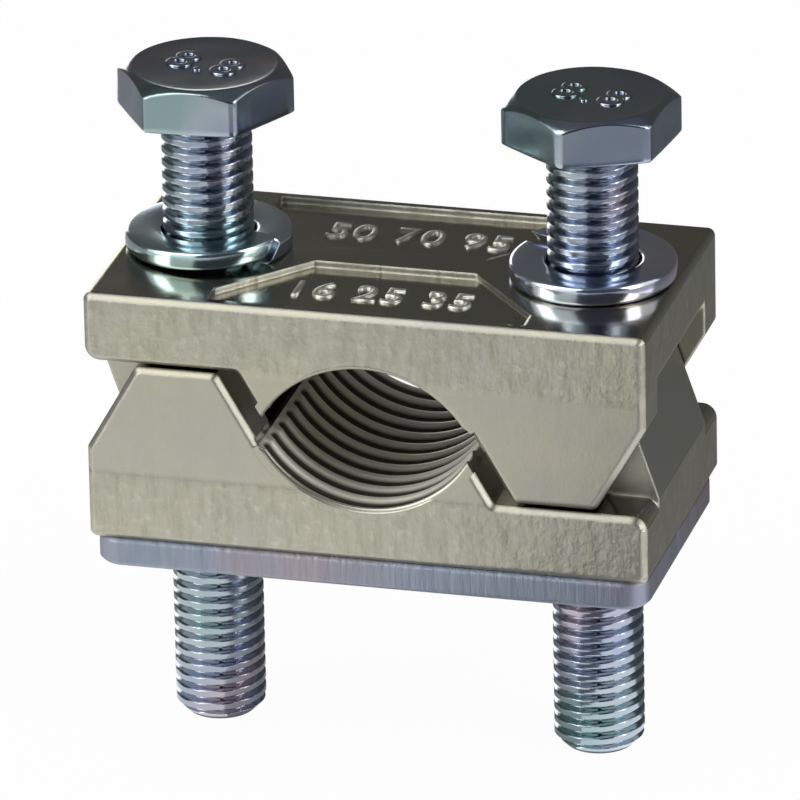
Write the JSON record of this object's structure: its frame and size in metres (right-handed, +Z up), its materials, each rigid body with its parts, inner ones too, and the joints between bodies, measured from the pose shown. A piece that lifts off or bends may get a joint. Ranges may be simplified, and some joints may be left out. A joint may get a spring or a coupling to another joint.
{
  "type": "parallel groove clamp",
  "caption": "Metal clamp that presses conductors in a serrated cross groove between fork-and-tongue cast jaws, closed by long hexagon bolts into a tapped plate.",
  "frame": {"origin": "midway between the bolts at the height of the bolt ends, on the surface the clamp stands on", "axes": "+Z up along the bolts, X along the jaws through both bolts with the lower jaw's fork at -X and its tongue at +X, Y along the conductor groove"},
  "size_m": [0.062, 0.033, 0.0754],
  "materials": {
    "tinned_casting": "tinned sand casting, satin grey-beige",
    "zinc_plate": "zinc plated steel, bluish, satin",
    "zinc_bolt": "zinc plated steel, bluish, glossy",
    "zinc_washer": "zinc plated spring steel, glossy"
  },
  "bodies": {
    "base": {"threaded_plate": "zinc_plate", "lower_jaw": "tinned_casting"},
    "lifting_jaw": {"upper_jaw": "tinned_casting", "left_lock_washer": "zinc_washer", "right_lock_washer": "zinc_washer"},
    "left_screw": {"left_bolt": "zinc_bolt"},
    "right_screw": {"right_bolt": "zinc_bolt"}
  },
  "joints": [
    {"name": "jaw_lift", "type": "slide", "parent": "base", "child": "lifting_jaw", "axis": [0, 0, 1], "range_m": [0, 0.006]},
    {"name": "left_bolt_travel", "type": "slide", "parent": "base", "child": "left_screw", "axis": [0, 0, 1], "range_m": [-0.006, 0.018]},
    {"name": "right_bolt_travel", "type": "slide", "parent": "base", "child": "right_screw", "axis": [0, 0, 1], "range_m": [-0.006, 0.018]}
  ]
}
